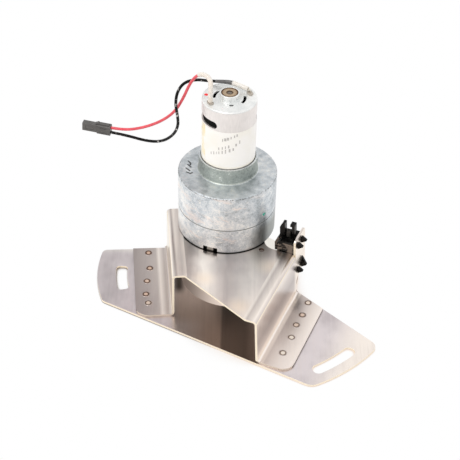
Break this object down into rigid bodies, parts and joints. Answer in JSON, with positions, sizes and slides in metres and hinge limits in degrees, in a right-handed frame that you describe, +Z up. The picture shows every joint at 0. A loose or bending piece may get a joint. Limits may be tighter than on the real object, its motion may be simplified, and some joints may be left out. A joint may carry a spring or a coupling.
{
  "type": "gearmotor bracket",
  "caption": "Folded steel channel on a fan-shaped base plate with arc slots, holding a round gearmotor shaft down, with a fork sensor on an upright ear and a plugged lead.",
  "frame": {"origin": "on the output shaft's axis at the underside of the base plate, the centre of its round opening", "axes": "+X along the base plate's straight front edge towards the wide wing, +Y to the rear, +Z up from the base plate to the motor"},
  "size_m": [0.2393, 0.1172, 0.1534],
  "materials": {
    "sheet_steel": "cold-rolled stainless sheet, lightly brushed, with bright bends",
    "plated_steel": "zinc-plated, smooth",
    "zinc_casting": "die-cast zinc, mottled blue-grey, satin",
    "screw_steel": "zinc-plated",
    "brass": "machined",
    "acetal": "natural acetal",
    "gear_steel": "sintered, oiled",
    "ground_steel": "ground",
    "bronze": "sintered, oil filled",
    "label_film": "cream film, satin",
    "ferrite": "dark sintered ferrite",
    "lamination": "stacked laminations",
    "copper_wire": "enamelled copper",
    "copper": "turned copper",
    "black_plastic": "moulded, fine satin",
    "carbon": "graphite",
    "tinned_brass": "tinned",
    "clear_sleeve": "translucent shrink sleeve",
    "red_insulation": "red insulation",
    "black_insulation": "black insulation",
    "grey_plastic": "moulded, dark grey"
  },
  "bodies": {
    "frame": {"adapter_plate": "plated_steel", "base_plate": "sheet_steel", "black_lead": "black_insulation", "black_sleeve": "clear_sleeve", "bracket_screws": "screw_steel", "brush_holder": "black_plastic", "brushes": "carbon", "connector_contacts": "tinned_brass", "connector_housing": "grey_plastic", "end_bell": "plated_steel", "first_gear_pin": "ground_steel", "front_bearing": "bronze", "gear_plate": "plated_steel", "housing_screws": "screw_steel", "lower_housing": "zinc_casting", "magnets": "ferrite", "motor_bracket": "sheet_steel", "motor_can": "plated_steel", "motor_label": "label_film", "motor_screws": "screw_steel", "negative_insulator": "black_plastic", "negative_terminal": "tinned_brass", "output_bush": "bronze", "output_top_bush": "bronze", "positive_insulator": "black_plastic", "positive_terminal": "tinned_brass", "rear_bearing": "bronze", "red_lead": "red_insulation", "red_sleeve": "clear_sleeve", "second_gear_pin": "ground_steel", "sensor_housing": "black_plastic", "sensor_insert": "grey_plastic", "upper_housing": "zinc_casting"},
    "rotor": {"motor_shaft": "ground_steel", "armature": "lamination", "armature_winding": "copper_wire", "commutator": "copper", "motor_pinion": "brass"},
    "first_gear": {"first_gear": "acetal"},
    "second_gear": {"second_gear": "gear_steel"},
    "output": {"output_shaft": "ground_steel", "output_wheel": "gear_steel", "retaining_ring": "screw_steel"}
  },
  "joints": [
    {"name": "rotor_spin", "type": "hinge", "parent": "frame", "child": "rotor", "pos_m": [-0.01069, 0.00976, 0.08095], "axis": [0, 0, 1], "continuous": true},
    {"name": "first_gear_spin", "type": "hinge", "parent": "frame", "child": "first_gear", "pos_m": [-0.01441, -0.0058, 0.0561], "axis": [0, 0, 1], "continuous": true},
    {"name": "second_gear_spin", "type": "hinge", "parent": "frame", "child": "second_gear", "pos_m": [-0.01709, 0.01321, 0.0561], "axis": [0, 0, 1], "continuous": true},
    {"name": "output_spin", "type": "hinge", "parent": "frame", "child": "output", "pos_m": [0, 0, 0.033], "axis": [0, 0, 1], "continuous": true}
  ],
  "couplings": [
    {"joint": "first_gear_spin", "follows": "rotor_spin", "ratio": -0.23077},
    {"joint": "second_gear_spin", "follows": "rotor_spin", "ratio": 0.064615},
    {"joint": "output_spin", "follows": "rotor_spin", "ratio": -0.022615}
  ]
}
